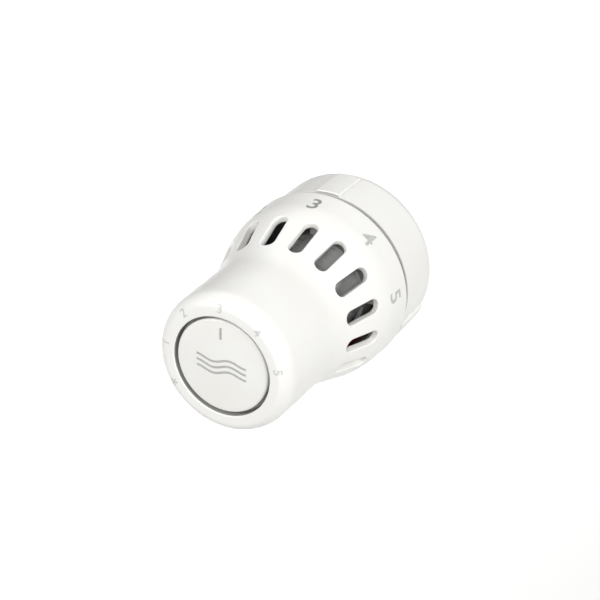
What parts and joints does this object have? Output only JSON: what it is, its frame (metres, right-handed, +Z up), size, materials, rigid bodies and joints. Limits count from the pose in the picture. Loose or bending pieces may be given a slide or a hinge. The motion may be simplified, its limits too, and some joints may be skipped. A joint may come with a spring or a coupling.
{
  "type": "thermostatic radiator valve head",
  "caption": "Round white thermostatic radiator valve head: a flared handwheel with air slots and a numbered scale turns on a fixed base ring round a liquid sensor.",
  "frame": {"origin": "centre of the rear face, on the head's own axis, where the head meets the valve's neck", "axes": "+Y along the head's axis towards the valve, so the front cap faces -Y; +Z up, through the pointer pad of the base ring"},
  "size_m": [0.049, 0.071, 0.049],
  "materials": {
    "white_plastic": "satin moulded",
    "cap_plastic": "fine matt moulded",
    "frame_plastic": "moulded, grey",
    "collar_plastic": "moulded, light grey",
    "jaw_plastic": "moulded, dark grey",
    "pin_plastic": "moulded, red",
    "carrier_plastic": "moulded, glass-filled",
    "foot_plastic": "moulded, natural",
    "can_metal": "drawn, satin",
    "spring_steel": "drawn wire and stamped sheet",
    "spindle_steel": "ground",
    "bellows_brass": "formed, bright",
    "copper": "pinched copper tube"
  },
  "bodies": {
    "base": {"base_ring": "white_plastic", "coupling_collar": "collar_plastic", "clamp_spring": "spring_steel", "guide_frame": "frame_plastic", "front_cap": "cap_plastic"},
    "jaw_1": {"snap_jaw_1": "jaw_plastic"},
    "jaw_2": {"snap_jaw_2": "jaw_plastic"},
    "jaw_3": {"snap_jaw_3": "jaw_plastic"},
    "jaw_4": {"snap_jaw_4": "jaw_plastic"},
    "pin_1": {"limit_pin_1": "pin_plastic"},
    "pin_2": {"limit_pin_2": "pin_plastic"},
    "wheel": {"handwheel": "white_plastic", "drive_sleeve": "frame_plastic"},
    "carrier": {"sensor_carrier": "carrier_plastic", "carrier_cap": "carrier_plastic", "overtravel_spring": "spring_steel"},
    "sensor": {"sensor_can": "can_metal", "fill_stub": "copper", "sensor_end_plate": "can_metal", "spring_plate": "spring_steel", "stem_clip": "spring_steel", "bellows": "bellows_brass"},
    "spindle": {"spindle": "spindle_steel", "bellows_cap": "bellows_brass", "pressure_foot": "foot_plastic"}
  },
  "joints": [
    {"name": "handwheel_turn", "type": "hinge", "parent": "base", "child": "wheel", "pos_m": [0, -0.045, 0], "axis": [0, 1, 0], "range_deg": [-85, 125]},
    {"name": "carrier_shift", "type": "slide", "parent": "base", "child": "carrier", "axis": [0, 1, 0], "range_m": [-0.00189, 0.00278]},
    {"name": "sensor_overtravel", "type": "slide", "parent": "carrier", "child": "sensor", "axis": [0, -1, 0], "range_m": [0, 0.0022], "stiffness_N_per_m": 8000, "deforming": ["overtravel_spring"]},
    {"name": "spindle_stroke", "type": "slide", "parent": "sensor", "child": "spindle", "axis": [0, 1, 0], "range_m": [-0.0012, 0.0016], "stiffness_N_per_m": 3000, "deforming": ["bellows"]},
    {"name": "jaw_1_release", "type": "slide", "parent": "base", "child": "jaw_1", "axis": [0.7071, 0, 0.7071], "range_m": [0, 0.0009], "stiffness_N_per_m": 2500, "deforming": ["clamp_spring"]},
    {"name": "jaw_2_release", "type": "slide", "parent": "base", "child": "jaw_2", "axis": [0.7071, 0, -0.7071], "range_m": [0, 0.0009], "stiffness_N_per_m": 2500},
    {"name": "jaw_3_release", "type": "slide", "parent": "base", "child": "jaw_3", "axis": [-0.7071, 0, -0.7071], "range_m": [0, 0.0009], "stiffness_N_per_m": 2500},
    {"name": "jaw_4_release", "type": "slide", "parent": "base", "child": "jaw_4", "axis": [-0.7071, 0, 0.7071], "range_m": [0, 0.0009], "stiffness_N_per_m": 2500},
    {"name": "limit_pin_1_pull", "type": "slide", "parent": "base", "child": "pin_1", "axis": [0, 1, 0], "range_m": [0, 0.01]},
    {"name": "limit_pin_2_pull", "type": "slide", "parent": "base", "child": "pin_2", "axis": [0, 1, 0], "range_m": [0, 0.01]}
  ],
  "couplings": [
    {"joint": "handwheel_turn", "follows": "carrier_shift", "rad_per_m": 785.4},
    {"joint": "jaw_2_release", "follows": "jaw_1_release", "ratio": 1},
    {"joint": "jaw_3_release", "follows": "jaw_1_release", "ratio": 1},
    {"joint": "jaw_4_release", "follows": "jaw_1_release", "ratio": 1}
  ]
}
